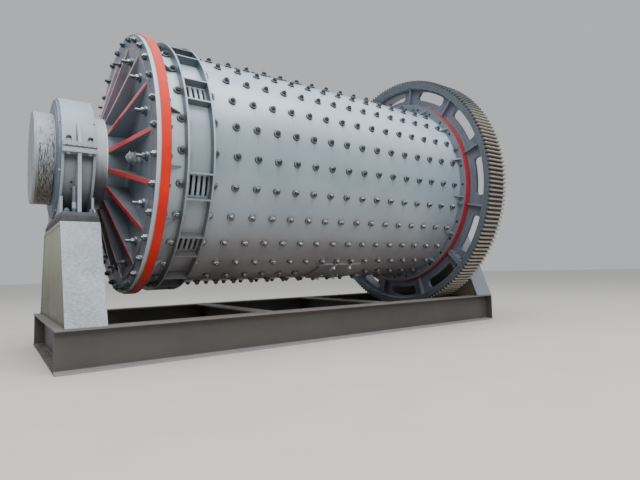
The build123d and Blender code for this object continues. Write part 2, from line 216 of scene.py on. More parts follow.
class Wiring:
    # Short ways to add nodes and join them in one tree; a colour may be given as its hex name
    def __init__(self, tree):
        self.tree = tree

    def make(self, kind, **settings):
        node = self.tree.nodes.new("ShaderNode" + kind)
        for key, value in settings.items():
            setattr(node, key, value)
        return node

    def put(self, socket, value):
        if isinstance(value, bpy.types.NodeSocket):
            self.tree.links.new(value, socket)
        elif value is not None:
            socket.default_value = linear(value) if isinstance(value, str) else value

    def add(self, kind, *values, **settings):
        # A node whose inputs are filled in their order, where None leaves one as it is
        node = self.make(kind, **settings)
        for socket, value in zip(node.inputs, values):
            self.put(socket, value)
        return node.outputs

    def named(self, node, **values):
        # Fills a node's inputs by their names
        for key, value in values.items():
            self.put(node.inputs[key.replace("_", " ")], value)
        return node.outputs

    def group(self, group, **values):
        return self.named(self.make("Group", node_tree=group), **values)

    def math(self, operation, *values, clamp=False):
        return self.add("Math", *values, operation=operation, use_clamp=clamp)[0]

    def times(self, first, *others):
        for value in others:
            first = self.math("MULTIPLY", first, value)
        return first

    def plus(self, a, b):
        return self.math("ADD", a, b)

    def minus(self, a, b):
        return self.math("SUBTRACT", a, b)

    def timesPlus(self, a, b, c):
        return self.math("MULTIPLY_ADD", a, b, c)

    def rest(self, mask):
        # Where the mask is not
        return self.math("SUBTRACT", 1.0, mask)

    def gap(self, a, b):
        # How far apart two values are
        return self.math("ABSOLUTE", self.math("SUBTRACT", a, b))

    def mix(self, amount, a, b):
        # The two colours follow five inputs of other kinds
        return self.add("Mix", amount, *[None] * 5, a, b, data_type="RGBA", blend_type="MIX")[2]

    def tint(self, colour, tone, *masks):
        # Lays a tone over colour where all the masks are; a pair is the tone and its strength
        tone, strength = tone if isinstance(tone, tuple) else (tone, None)
        if strength is not None:
            masks += (strength,)
        return self.mix(self.times(*masks), colour, tone)

    def ramp(self, value, low, high, start=0.0, end=1.0):
        return self.add("MapRange", value, low, high, start, end, interpolation_type="SMOOTHSTEP")[0]

    def noise(self, vector, scale, detail=3.0, roughness=0.55):
        node = self.make("TexNoise")
        return self.named(node, Vector=vector, Scale=scale, Detail=detail, Roughness=roughness)["Fac"]

    def scaled(self, vector, by):
        return self.add("VectorMath", vector, by, operation="MULTIPLY")[0]

    def parts(self, vector):
        return self.add("SeparateXYZ", vector)

    def facing(self):
        return self.parts(self.add("NewGeometry")["Normal"])


def newGroup(name, inputs, outputs):
    group = bpy.data.node_groups.new(name, "ShaderNodeTree")
    for kind, label, value in inputs:
        socket = group.interface.new_socket(name=label, in_out="INPUT", socket_type="NodeSocket" + kind)
        if value is not None:
            socket.default_value = linear(value) if isinstance(value, str) else value
    for kind, label in outputs:
        group.interface.new_socket(name=label, in_out="OUTPUT", socket_type="NodeSocket" + kind)
    start = group.nodes.new("NodeGroupInput")
    end = group.nodes.new("NodeGroupOutput")
    return group, Wiring(group), start.outputs, end.inputs


placeLabels = ("Along", "Reach", "Radius", "Lift", "Across", "Fall")


def buildAxisFrame():
    # Where a point is, seen from the mill axis: along it, out from it, and above it
    outputs = [("Vector", "Position")] + [("Float", label) for label in placeLabels]
    group, w, start, end = newGroup("axisFrame", [], outputs)
    place = w.add("TexCoord")["Object"]
    along, across, up = w.parts(place)
    lift = w.minus(up, mill["axisHeight"])
    radius = w.math("SQRT", w.plus(w.math("POWER", across, 2.0), w.math("POWER", lift, 2.0)))
    # Reach runs alike at both ends: at the drive end the gear's hub is taken off
    hub = w.times(w.math("GREATER_THAN", along, 0.0), mill["hubThickness"])
    reach = w.minus(w.math("ABSOLUTE", along), hub)
    # Fall counts liner rows downwards from the top, alike on both sides
    turn = w.math("DEGREES", w.math("ARCTAN2", lift, across))
    row = w.math("DIVIDE", w.minus(turn, mill["rowPhase"]), 360.0 / mill["rows"])
    fall = w.gap(w.math("FLOORED_MODULO", row, 1.0), w.math("GREATER_THAN", across, 0.0))
    w.put(end["Position"], place)
    for label, value in zip(placeLabels, (along, reach, radius, lift, across, fall)):
        w.put(end[label], value)
    return group


def buildPaintCoat():
    # Sprayed paint: cloudy tint, fine mist of overspray, and a faint orange-peel height
    group, w, start, end = newGroup("paintCoat", [
        ("Vector", "Position", None), ("Color", "Paint", (0.3, 0.3, 0.3, 1)),
        ("Color", "Thin Paint", (0.2, 0.2, 0.2, 1)), ("Float", "Cloud Scale", 1.6),
        ("Float", "Cloud Amount", 0.5), ("Float", "Mist Amount", 0.25)],
        [("Color", "Color"), ("Float", "Sheen Mask"), ("Float", "Height")])
    cloudy = w.ramp(w.noise(start["Position"], start["Cloud Scale"], 4.0, 0.6), 0.36, 0.68)
    colour = w.tint(start["Paint"], start["Thin Paint"], cloudy, start["Cloud Amount"])
    mist = w.noise(start["Position"], 240.0, 2.0, 0.7)
    peel = w.noise(start["Position"], 90.0, 2.0, 0.5)
    w.put(end["Color"], w.tint(colour, start["Thin Paint"], w.ramp(mist, 0.45, 0.75), start["Mist Amount"]))
    w.put(end["Sheen Mask"], cloudy)
    w.put(end["Height"], w.timesPlus(peel, 0.6, w.times(mist, 0.25)))
    return group


def buildYardDust():
    # Dust that settles on upward faces, and rain runs that carry it down steep ones
    group, w, start, end = newGroup("yardDust", [
        ("Vector", "Position", None), ("Color", "Color", (0.3, 0.3, 0.3, 1)), ("Color", "Dust", "8d8272"),
        ("Float", "Top Amount", 0.4), ("Float", "Run Amount", 0.2)], [("Color", "Color"), ("Float", "Dusty")])
    upward = w.facing()[2]
    patches = w.ramp(w.noise(start["Position"], 7.0, 5.0, 0.65), 0.38, 0.66)
    tops = w.times(w.ramp(upward, 0.35, 0.95), w.timesPlus(patches, 0.7, 0.3), start["Top Amount"])
    runs = w.noise(w.scaled(start["Position"], (22.0, 22.0, 1.3)), 1.0, 3.0, 0.6)
    steep = w.rest(w.math("ABSOLUTE", upward))
    runs = w.times(w.ramp(runs, 0.5, 0.78), steep, start["Run Amount"])
    dusty = w.math("ADD", tops, runs, clamp=True)
    w.put(end["Color"], w.mix(dusty, start["Color"], start["Dust"]))
    w.put(end["Dusty"], dusty)
    return group


def buildEdgeRub():
    # Convex edges, broken up, where handling has rubbed the paint
    group, w, start, end = newGroup("edgeRub", [
        ("Vector", "Position", None), ("Float", "Width", 0.004), ("Float", "Amount", 0.5)],
        [("Float", "Rubbed"), ("Vector", "Soft Normal")])
    bevel = w.add("Bevel", start["Width"], samples=4)[0]
    alike = w.add("VectorMath", bevel, w.add("NewGeometry")["Normal"], operation="DOT_PRODUCT")["Value"]
    broken = w.ramp(w.noise(start["Position"], 38.0, 4.0, 0.7), 0.40, 0.62)
    w.put(end["Rubbed"], w.times(w.ramp(alike, 0.97, 0.80), broken, start["Amount"]))
    w.put(end["Soft Normal"], bevel)
    return group


def buildCastSkin():
    # Sand-cast steel: pitted, with soft swells
    group, w, start, end = newGroup("castSkin", [
        ("Vector", "Position", None), ("Float", "Grain Scale", 160.0), ("Float", "Pit Amount", 0.5)],
        [("Float", "Height")])
    grain = w.noise(start["Position"], start["Grain Scale"], 4.0, 0.65)
    swell = w.noise(start["Position"], 9.0, 2.0, 0.5)
    pits = w.ramp(w.noise(start["Position"], 34.0, 5.0, 0.7), 0.60, 0.72)
    height = w.timesPlus(grain, 0.5, w.times(swell, 0.5))
    w.put(end["Height"], w.minus(height, w.times(pits, start["Pit Amount"])))
    return group


axisFrame = buildAxisFrame()
paintCoat = buildPaintCoat()
yardDust = buildYardDust()
edgeRub = buildEdgeRub()
castSkin = buildCastSkin()


class Finish:
    # One material, with the shader kept here and the shared effects placed in front of it
    def __init__(self, name, roughness=0.5, metallic=0.0, coat=0.0, specular=0.5):
        self.material = bpy.data.materials.new(name)
        self.material.use_nodes = True
        self.wires = Wiring(self.material.node_tree)
        self.shader = self.material.node_tree.nodes["Principled BSDF"]
        self.put("Roughness", roughness)
        self.put("Metallic", metallic)
        self.put("Specular IOR Level", specular)
        if coat:
            self.put("Coat Weight", coat)
            self.put("Coat Roughness", 0.18)
        place = self.wires.group(axisFrame)
        self.position = place["Position"]
        for label in placeLabels:
            setattr(self, label.lower(), place[label])

    def put(self, label, value):
        self.wires.put(self.shader.inputs[label], value)

    def effect(self, group, **values):
        return self.wires.group(group, Position=self.position, **values)

    def noise(self, scale, detail=3.0, roughness=0.55, stretch=None):
        place = self.wires.scaled(self.position, stretch) if stretch else self.position
        return self.wires.noise(place, scale, detail, roughness)

    def sprayed(self, paint, thin, cloudScale, clouds, mist):
        return self.effect(paintCoat, Paint=paint, Thin_Paint=thin, Cloud_Scale=cloudScale,
                           Cloud_Amount=clouds, Mist_Amount=mist)

    def dusted(self, colour, dust, tops, runs):
        dusty = self.effect(yardDust, Color=colour, Dust=dust, Top_Amount=tops, Run_Amount=runs)
        self.put("Base Color", dusty["Color"])
        return dusty["Dusty"]

    def bump(self, height, distance, strength, normal=None):
        w = self.wires
        bumped = w.named(w.make("Bump"), Height=height, Distance=distance, Strength=strength, Normal=normal)
        self.put("Normal", bumped[0])


# Wear and painted light of each painted piece: heights and radii are from the mill axis, a pair is a tone and
# its strength
ribTones = dict(red=("ad1b22", "c2262a"), lowRed=("7a1624", 0.55), undersideShade=("6a1020", 0.6),
                overNeck=("54434d", 0.92), corner=("de7d86", "c9a3ab"), cornerStrength=0.8, sides="705660",
                ragged=0.012, inset=0.004)


def ribStripe(f, colour):
    # The sloping outer edges of the ribs are painted red, with a ragged cut-in line
    w = f.wires
    tipRadius = mill["neckRadius"] + ribTones["inset"]
    rootRadius = mill["bossRadius"] - ribTones["inset"]
    run, rise = ribRoot - ribTip, rootRadius - tipRadius
    length = math.hypot(run, rise)
    outside = w.plus(w.times(w.minus(f.reach, ribTip), rise / length),
                     w.times(w.minus(f.radius, tipRadius), -run / length))
    depth = w.minus(w.times(w.minus(f.noise(30.0), 0.5), ribTones["ragged"]), outside)
    red = w.times(w.ramp(depth, 0.0065, 0.0045), w.ramp(f.radius, tipRadius - 0.004, tipRadius - 0.001),
                  w.ramp(f.reach, ribRoot + 0.004, ribRoot + 0.008))
    # The ribs over the neck are dulled to mauve by dust and by a painted sky reflection, on their edges and
    # down their sides
    above = w.ramp(f.lift, 0.2, 0.4)
    over = w.times(w.ramp(w.timesPlus(f.lift, 1.2, f.across), -0.06, 0.06), above)
    beside = w.times(w.ramp(w.timesPlus(f.lift, 0.885, f.across), -0.01, 0.01), above)
    tone = w.mix(f.noise(6.0), *ribTones["red"])
    tone = w.tint(tone, ribTones["lowRed"], w.ramp(f.lift, -0.35, -0.90))
    # Above the mill's axis each edge has painted shade below and a painted highlight along its upper corner
    step = 2 * math.pi / mill["ribs"]
    turn = w.minus(w.math("ARCTAN2", f.lift, f.across), math.radians(mill["ribPhase"]) - step / 2)
    upward = w.minus(w.math("FLOORED_MODULO", turn, step), step / 2)
    upward = w.times(upward, w.math("SIGN", f.across), f.radius)
    high = w.ramp(f.lift, 0.10, 0.35)
    tone = w.tint(tone, ribTones["undersideShade"], w.ramp(upward, 0.006, -0.004), high)
    tone = w.tint(tone, ribTones["overNeck"], over)
    corner = w.mix(over, *ribTones["corner"])
    tone = w.tint(tone, corner, w.ramp(upward, 0.0095, 0.0135), high, ribTones["cornerStrength"])
    f.put("Coat Weight", w.timesPlus(red, 0.6, 0.2))
    sides = w.times(w.ramp(f.reach, ribRoot + 0.006, ribRoot + 0.020), w.ramp(f.radius, 0.56, 0.60))
    streaks = w.timesPlus(f.noise(1.0, stretch=(60.0, 18.0, 3.0)), 0.5, 0.35)
    colour = w.tint(colour, ribTones["sides"], sides, beside, streaks)
    return headZones(f, w.mix(red, colour, tone))


headTones = dict(rim=("a4adb6", "bcc4cb"), lowRim=("7b8186", 0.5), neck=("929ba2", "b9c1c7"),
                 neckShade="45484f", neckLipHighlight="d3d9dd", bossLine=("9a4658", "b84a72"))


def headZones(f, colour):
    # Paler paint on the rim, darker towards the bottom, and on the plain neck, with painted shade low on the
    # neck and a painted highlight along its lip, and a thin worn line of red on the edge of the boss
    w = f.wires
    pale = w.tint(w.mix(f.noise(9.0, 4.0), *headTones["rim"]), headTones["lowRim"], w.ramp(f.lift, 0.1, -0.9))
    colour = w.mix(w.ramp(f.radius, mill["headRadius"] - 0.004, mill["headRadius"] - 0.002), colour, pale)
    streaks = f.noise(1.0, 4.0, 0.6, stretch=(46.0, 3.0, 3.0))
    level = w.timesPlus(w.minus(streaks, 0.5), 0.16, f.lift)
    neck = w.mix(streaks, *headTones["neck"])
    # Painted shade on the lower neck
    neck = w.mix(w.ramp(level, 0.04, -0.30), neck, headTones["neckShade"])
    # Painted highlight along the neck's lip
    lip = w.ramp(w.gap(f.reach, ribTip + 0.004), 0.006, 0.003)
    neck = w.tint(neck, headTones["neckLipHighlight"], lip, w.ramp(level, -0.30, -0.05))
    onNeck = w.times(w.ramp(f.reach, ribTip - 0.002, ribTip + 0.002), w.ramp(f.radius, 0.60, 0.58))
    colour = w.mix(onNeck, colour, neck)
    # The line is whole and pink at the top, and worn into patches elsewhere
    top = w.ramp(f.lift, 1.14, 1.24)
    wobble = w.timesPlus(top, 0.006, w.times(f.noise(14.0, 4.0), 0.007))
    line = w.ramp(w.gap(f.radius, mill["bossRadius"]), w.plus(wobble, 0.003), wobble)
    patchy = w.math("MAXIMUM", w.times(w.ramp(f.noise(4.0, 4.0), 0.36, 0.55), 0.4), w.times(top, 0.9))
    return w.tint(colour, w.mix(top, *headTones["bossLine"]), line, patchy)


ringTones = dict(sides=("48525b", "2f373e"), edgeHighlight=("b4bec5", 0.5), filmAndGroundReflection=("544e49", 0.6), sideShadeStrength=0.62,
                 dividers=0.15, atTop=0.2, inside=0.123)


def ringWearAndPaintedLight(f, colour):
    # Pale edges, partly rubbed paint and partly a painted highlight; painted shade on the sides, more at the
    # top and most on the dividers; and dirt with a painted ground reflection from the belly down
    w = f.wires
    inside = ringTones["inside"]
    between = w.ramp(w.gap(f.along, -mill["ringCentre"]), inside + 0.0005, inside - 0.0005)
    rim = w.ramp(f.radius, mill["ringRadius"] - 0.006, mill["ringRadius"] - 0.003)
    high = w.ramp(f.lift, 0.75, 1.25)
    dark = w.timesPlus(between, ringTones["dividers"], ringTones["sideShadeStrength"])
    dark = w.timesPlus(high, ringTones["atTop"], dark)
    # Painted shade on the plates' sides and on the dividers
    colour = w.tint(colour, w.mix(high, *ringTones["sides"]), w.rest(rim), dark)
    # Painted highlight along the rims
    colour = w.tint(colour, ringTones["edgeHighlight"], rim, w.ramp(f.lift, -0.7, 0.1), w.ramp(f.lift, 1.42, 1.15))
    # Dirt with a painted ground reflection low down
    return w.tint(colour, ringTones["filmAndGroundReflection"], w.ramp(w.timesPlus(f.noise(3.0, 4.0), 0.3, f.lift), -0.35, -1.0))


shellTones = dict(flank="a6b4c0", boltReflectionStreak=("434a50", 0.24), filmAndGroundReflection=("73625e", 0.62), inRing=("4a5a67", 0.45),
                  fresh="b2bec7", freshFrom=-1.68)


def shellWearAndPaintedLight(f, colour):
    # A painted highlight high on the flanks, road film with a painted ground reflection along the belly, and
    # a faint dark streak under each liner bolt, a painted reflection of the bolt
    w = f.wires
    cloud = f.noise(2.0, 4.0)
    colour = w.tint(colour, shellTones["flank"], w.ramp(f.lift, 0.10, 0.65), w.ramp(f.lift, 1.26, 1.0))
    column = w.math("DIVIDE", w.minus(f.along, linerRows["firstColumn"]), linerRows["pitch"])
    aside = w.gap(w.math("FLOORED_MODULO", w.plus(column, 0.5), 1.0), 0.5)
    ragged = w.timesPlus(f.noise(25.0), 0.04, 0.02)
    run = w.times(w.ramp(aside, w.plus(ragged, 0.035), ragged), w.ramp(f.fall, 0.60, 0.10))
    colour = w.tint(colour, shellTones["boltReflectionStreak"], run, w.ramp(f.lift, 0.80, 0.40))
    colour = w.tint(colour, shellTones["filmAndGroundReflection"], w.ramp(w.timesPlus(cloud, 0.3, f.lift), -0.10, -1.05))
    # The course at the discharge end was sprayed afresh, but not the plates inside the ring, which get
    # painted shade at the top
    inRing = w.ramp(w.gap(f.along, -mill["ringCentre"]), 0.135, 0.125)
    colour = w.tint(colour, shellTones["inRing"], inRing, w.ramp(f.lift, 0.85, 1.25))
    fresh = w.times(w.ramp(f.along, shellTones["freshFrom"], shellTones["freshFrom"] - 0.06),
                    w.ramp(f.lift, -0.75, -0.10), w.rest(inRing))
    return w.tint(colour, shellTones["fresh"], fresh, w.timesPlus(cloud, 0.4, 0.35))


bearingTones = dict(belly="5b646b", underSplitShadeAndDirt=("3c4147", 0.75), ribGapShadow=("3a4046", 0.8), ribGapAt=2.848,
                    foot=("2b2a2f", "4a4a50"), footStrength=0.9, bellyRadius=0.611)


def bearingShadeAndGrime(f, colour):
    # A dark mottled foot flange; painted shade with dirt under the split flange; and painted shade down the
    # belly between the walls
    w = f.wires
    cloud = f.noise(16.0, 4.0, 0.6)
    belly = bearingTones["bellyRadius"]
    onBelly = w.times(w.ramp(f.radius, belly + 0.005, belly), w.ramp(f.lift, -0.050, -0.058))
    # The belly darkens downwards as painted shade
    deep = w.ramp(w.timesPlus(cloud, 0.15, f.lift), -0.10, -0.60)
    colour = w.tint(colour, bearingTones["belly"], onBelly, w.timesPlus(deep, 0.45, 0.30))
    shade = w.ramp(w.timesPlus(cloud, 0.08, f.lift), -0.13, -0.02)
    colour = w.tint(colour, bearingTones["underSplitShadeAndDirt"], shade, onBelly)
    # A painted shadow runs up beside the cap's rib
    beside = w.ramp(w.gap(f.reach, bearingTones["ribGapAt"]), 0.008, 0.004)
    colour = w.tint(colour, bearingTones["ribGapShadow"], beside, w.ramp(f.lift, 0.054, 0.058),
                    w.ramp(f.lift, 0.30, 0.20))
    foot = w.ramp(w.timesPlus(cloud, 0.02, f.lift), -0.628, -0.640)
    return w.tint(colour, w.mix(cloud, *bearingTones["foot"]), foot, bearingTones["footStrength"])


frameTones = dict(endShade=("242328", 0.55), dust="a19fa3", lowDust=0.55, topDust=0.22,
                  rust=("6a3b34", 0.42))


def frameEdges(f, colour):
    # The flanges' edges and the lower flange are paler with dust, but not at the shaded discharge end
    w = f.wires
    top, start = mill["beamTop"], mill["frameStart"]
    ground = w.plus(f.lift, mill["axisHeight"])
    facing = w.facing()
    ledge = w.times(w.ramp(facing[2], 0.5, 0.8), w.ramp(ground, 0.030, 0.024),
                    w.ramp(f.across, mill["frontWeb"] - 0.012, mill["frontWeb"]))
    shade = w.math("MAXIMUM", ledge, w.ramp(facing[0], -0.5, -0.8))
    shade = w.times(shade, w.ramp(f.along, start + 0.25, start + 0.23))
    colour = w.tint(colour, frameTones["endShade"], shade)
    low = w.times(w.ramp(ground, 0.024, 0.018), w.rest(shade), frameTones["lowDust"])
    high = w.times(w.ramp(ground, top - 0.018, top - 0.014), frameTones["topDust"])
    colour = w.tint(colour, frameTones["dust"], w.plus(low, high), w.timesPlus(f.noise(5.0, 4.0), 0.5, 0.7))
    # Thin rust shows in places under the top flange
    band = w.times(w.ramp(ground, top - 0.10, top - 0.03), w.ramp(ground, top - 0.012, top - 0.020))
    patches = w.ramp(f.noise(1.0, 4.0, stretch=(0.9, 0.9, 5.0)), 0.46, 0.66)
    return w.tint(colour, frameTones["rust"], band, patches)


boltTones = dict(filmAndGroundReflection=("5f534f", 0.6), lit=("c0c7cb", 0.85), washer=("8c979f", 0.4),
                 shadeAndGrime=("2c3238", "3a3230"), shadeAndGrimeStrength=0.7)


def boltGrimeAndPaintedLight(f, colour):
    # Painted shade with dirt lies round the washer's foot and its top gets a painted highlight; faces turned
    # up get a painted highlight, but not high on the shell; the nuts are dark, and low on the shell film with
    # a painted ground reflection tints them
    w = f.wires
    rise = w.minus(f.radius, mill["shellRadius"])
    low = w.ramp(f.lift, -0.35, -0.85)
    colour = w.tint(colour, boltTones["filmAndGroundReflection"], low)
    # Painted highlight on faces turned up
    colour = w.tint(colour, boltTones["lit"], w.ramp(w.facing()[2], 0.15, 0.60), w.ramp(f.lift, 0.25, -0.30))
    colour = w.tint(colour, boltTones["washer"], w.ramp(rise, 0.0155, 0.0170), w.ramp(rise, 0.0205, 0.0190))
    shadeAndGrime = w.mix(low, *boltTones["shadeAndGrime"])
    return w.tint(colour, shadeAndGrime, w.ramp(rise, 0.0165, 0.0140), boltTones["shadeAndGrimeStrength"])


rimTones = dict(discharge=dict(red=("cf1e0a", "b8190b"), depth=0.0035, skyReflectionFrom=1.20, gusset="3f3c44"),
                drive=dict(red=("851b26", "93202a"), depth=0.011, skyReflectionFrom=1.05, farSide="666b74"),
                skyReflectionTo=1.44, skyReflection=("7d6470", 0.8), low=("6b3a38", 0.3), ragged=0.006)


def rimStripe(f, colour, end):
    # The flange's red rim, with a painted sky reflection at the top and darker towards the bottom
    w = f.wires
    rim = rimTones[end]
    edge = mill["flangeRadius"] - rim["depth"]
    ragged = w.times(w.minus(f.noise(26.0), 0.5), rimTones["ragged"])
    red = w.ramp(w.plus(f.radius, ragged), edge - 0.002, edge)
    tone = w.mix(w.ramp(f.noise(3.0), 0.3, 0.7), *rim["red"])
    # Painted sky reflection towards the top
    tone = w.tint(tone, rimTones["skyReflection"], w.ramp(f.lift, rim["skyReflectionFrom"], rimTones["skyReflectionTo"]))
    tone = w.tint(tone, rimTones["low"], w.ramp(f.lift, -0.4, -1.3))
    if "farSide" in rim:
        tone = w.tint(tone, rim["farSide"], w.ramp(f.across, -0.85, -0.55), w.ramp(f.lift, 0.6, 1.0))
    if "gusset" in rim:
        # The gussets kept a darker coat
        gusset = w.ramp(f.reach, flangeInner - 0.001, flangeInner - 0.004)
        colour = w.tint(colour, rim["gusset"], gusset, w.ramp(f.lift, -0.3, 0.3, 0.35, 0.85))
    return w.mix(red, colour, tone)


def dischargeRim(f, colour):
    return rimStripe(f, colour, "discharge")


def driveRim(f, colour):
    return rimStripe(f, colour, "drive")


plainLook = dict(coat=0.0, specular=0.5, cloudScale=1.6, clouds=0.5, mist=0.25, edge=0.004, rub=0.4,
                 bare="9aa0a4", dust="8d8272", dustTop=0.35, runs=0.12, peel=0.0006, wearAndPaintedLight=None)
looks = {
    "shellPaint": dict(paint="81909a", thin="6f7e88", roughness=0.29, coat=0.45, rub=0.2, dustTop=0.10,
                       runs=0.10, wearAndPaintedLight=shellWearAndPaintedLight),
    "headPaint": dict(paint="5f6973", thin="4f5862", roughness=0.42, coat=0.25, rub=0.3, edge=0.008,
                      dustTop=0.3, runs=0.2, wearAndPaintedLight=ribStripe),
    "dischargeFlangePaint": dict(paint="87929b", thin="757f87", roughness=0.40, specular=0.2, rub=0.25,
                                 wearAndPaintedLight=dischargeRim),
    "driveFlangePaint": dict(paint="636e77", thin="525c64", roughness=0.38, coat=0.1, rub=0.35,
                             bare="9aa3aa", wearAndPaintedLight=driveRim),
    "coverRimPaint": dict(paint="828d95", thin="707a82", roughness=0.31, coat=0.35, rub=1.0, edge=0.012,
                          bare="dfe4e7", dustTop=0.18, runs=0.10, wearAndPaintedLight=shellWearAndPaintedLight),
    "sealPaint": dict(paint="5f6a78", thin="4e5866", roughness=0.42, coat=0.15, rub=0.55, edge=0.005,
                      bare="b0b8bf", dustTop=0.2, runs=0.1),
    "ringPaint": dict(paint="737e87", thin="5d6770", roughness=0.38, coat=0.1, rub=0.75, edge=0.005,
                      bare="c0c8ce", dustTop=0.2, runs=0.15, wearAndPaintedLight=ringWearAndPaintedLight),
    "bearingPaint": dict(paint="939ea9", thin="818b95", roughness=0.42, coat=0.15, rub=0.55, edge=0.006,
                         bare="b9c0c5", dustTop=0.25, peel=0.0009, wearAndPaintedLight=bearingShadeAndGrime),
    "framePaint": dict(paint="464541", thin="3b3a37", roughness=0.5, rub=0.7, bare="8f8d8b", dustTop=0.5,
                       runs=0.04, cloudScale=1.1, dust="7d7266", wearAndPaintedLight=frameEdges),
    "boltPaint": dict(paint="5a636b", thin="434b52", roughness=0.3, rub=0.6, bare="aeb5ba", edge=0.002,
                      dustTop=0.25, runs=0.0),
    "linerBoltPaint": dict(paint="2d3338", thin="22272b", roughness=0.30, coat=0.2, specular=0.35, rub=0.22,
                           bare="aab1b6", edge=0.002, dustTop=0.1, runs=0.0, wearAndPaintedLight=boltGrimeAndPaintedLight),
    "coverPaint": dict(paint="8f9498", thin="7a7f83", roughness=0.5, dustTop=0.2, runs=0.3, cloudScale=6.0),
    "weldPaint": dict(paint="78828a", thin="5b646c", roughness=0.45, rub=0.0, dustTop=0.2, runs=0.0),
}


def paintedSteel(name, changes):
    look = {**plainLook, **changes}
    f = Finish(name, coat=look["coat"], specular=look["specular"])
    w = f.wires
    coat = f.sprayed(look["paint"], look["thin"], look["cloudScale"], look["clouds"], look["mist"])
    rub = f.effect(edgeRub, Width=look["edge"], Amount=look["rub"])
    colour = w.mix(rub["Rubbed"], coat["Color"], look["bare"])
    if look["wearAndPaintedLight"]:
        colour = look["wearAndPaintedLight"](f, colour)
    dusty = f.dusted(colour, look["dust"], look["dustTop"], look["runs"])
    gloss = w.timesPlus(coat["Sheen Mask"], 0.10, look["roughness"])
    f.put("Roughness", w.math("MULTIPLY_ADD", dusty, 0.35, gloss, clamp=True))
    f.bump(coat["Height"], look["peel"], 0.5, rub["Soft Normal"])
    return f.material


pedestalTones = dict(paint=("8d949a", "798086"), wiped=("adb3b7", 0.35), driveEndShade=("6a6f73", 0.75),
                     endSkinAndShade=("5b5c4d", "9c9d87"), bare="b9bdbf", dust="7f7a70", wipeScale=(7.0, 7.0, 11.0))


def pedestalPaint():
    # Pale primer on the sloping faces, with wiped squares and painted shade on the drive pedestal, over a
    # darker end skin that is partly painted shade and lighter upwards
    f = Finish("pedestalPaint", specular=0.4)
    w = f.wires
    coat = f.sprayed(*pedestalTones["paint"], 3.2, 0.7, 0.12)
    place = w.scaled(f.position, pedestalTones["wipeScale"])
    squares = w.add("TexVoronoi", place, feature="F1", distance="CHEBYCHEV")["Distance"]
    slope = w.tint(coat["Color"], pedestalTones["wiped"], w.ramp(squares, 0.30, 0.55))
    # Painted shade on the drive pedestal
    slope = w.tint(slope, pedestalTones["driveEndShade"], w.math("GREATER_THAN", f.along, 0.0))
    onEnd = w.ramp(w.math("ABSOLUTE", w.facing()[0]), 0.6, 0.8)
    # The end skin is partly painted shade, lighter upwards
    endSkinAndShade = w.mix(w.ramp(f.lift, -1.63, -0.73), *pedestalTones["endSkinAndShade"])
    rub = f.effect(edgeRub, Width=0.006, Amount=0.5)
    colour = w.mix(rub["Rubbed"], w.mix(onEnd, slope, endSkinAndShade), pedestalTones["bare"])
    f.dusted(colour, pedestalTones["dust"], 0.3, 0.3)
    f.put("Roughness", w.timesPlus(coat["Sheen Mask"], 0.12, 0.45))
    f.bump(coat["Height"], 0.0008, 0.5, rub["Soft Normal"])
    return f.material


gearTones = dict(paint=("5f6470", "4c515f"), oilAndShade=("352f29", "4c453c"), tips=("77736b", "969085"),
                 highTeeth="3d4346", inside=("9aa4af", 0.85), rim=("434a4f", 0.85), bare="8b949b",
                 dust="7d7468", rootRadius=1.855, tipRadii=(1.872, 1.895), insideRadii=(1.768, 1.784))


def gearSteel():
    # Slate paint on the casting; the toothed rim is cut metal under a brown preserving oil, dark on the
    # flanks and in the roots partly as painted shade; the inside of the rim is lightened as a painted sky
    # reflection
    f = Finish("gearSteel")
    w = f.wires
    skin = f.effect(castSkin, Grain_Scale=150.0, Pit_Amount=0.35)
    coat = f.sprayed(*gearTones["paint"], 2.2, 0.6, 0.3)
    oilAndShade = w.mix(w.ramp(f.noise(5.0, 4.0), 0.35, 0.65), *gearTones["oilAndShade"])
    oilAndShade = w.mix(w.ramp(f.radius, *gearTones["tipRadii"]), oilAndShade, w.mix(f.noise(11.0, 4.0), *gearTones["tips"]))
    # High up the oil has gone and the teeth are as dark as the casting
    oilAndShade = w.mix(w.ramp(w.timesPlus(f.noise(8.0), 0.2, f.lift), 0.95, 1.35), oilAndShade, gearTones["highTeeth"])
    side = w.ramp(w.math("ABSOLUTE", w.facing()[0]), 0.6, 0.9)
    root = gearTones["rootRadius"]
    cut = w.times(w.ramp(f.radius, root - 0.004, root + 0.004), w.rest(w.times(side, 0.8)))
    low, high = gearTones["insideRadii"]
    inside = w.times(w.ramp(f.radius, high, high - 0.005), w.ramp(f.radius, low, low + 0.006))
    # Painted sky reflection on the inside of the rim
    casting = w.tint(coat["Color"], gearTones["inside"], inside)
    casting = w.tint(casting, gearTones["rim"], w.ramp(f.radius, high - 0.002, high + 0.002))
    rub = f.effect(edgeRub, Width=0.010, Amount=0.35)
    colour = w.mix(cut, w.mix(rub["Rubbed"], casting, gearTones["bare"]), oilAndShade)
    f.dusted(colour, gearTones["dust"], 0.35, 0.15)
    f.put("Roughness", w.minus(0.5, w.times(cut, 0.12)))
    f.bump(w.times(w.rest(cut), skin["Height"]), 0.003, 0.6, rub["Soft Normal"])
    return f.material


wrapTones = dict(paint=("969ea6", "7f878e"), belly="64605e", split=("24262a", 0.85), dust="77746c",
                 runScale=(150.0, 19.0, 19.0), edgeReach=3.168)


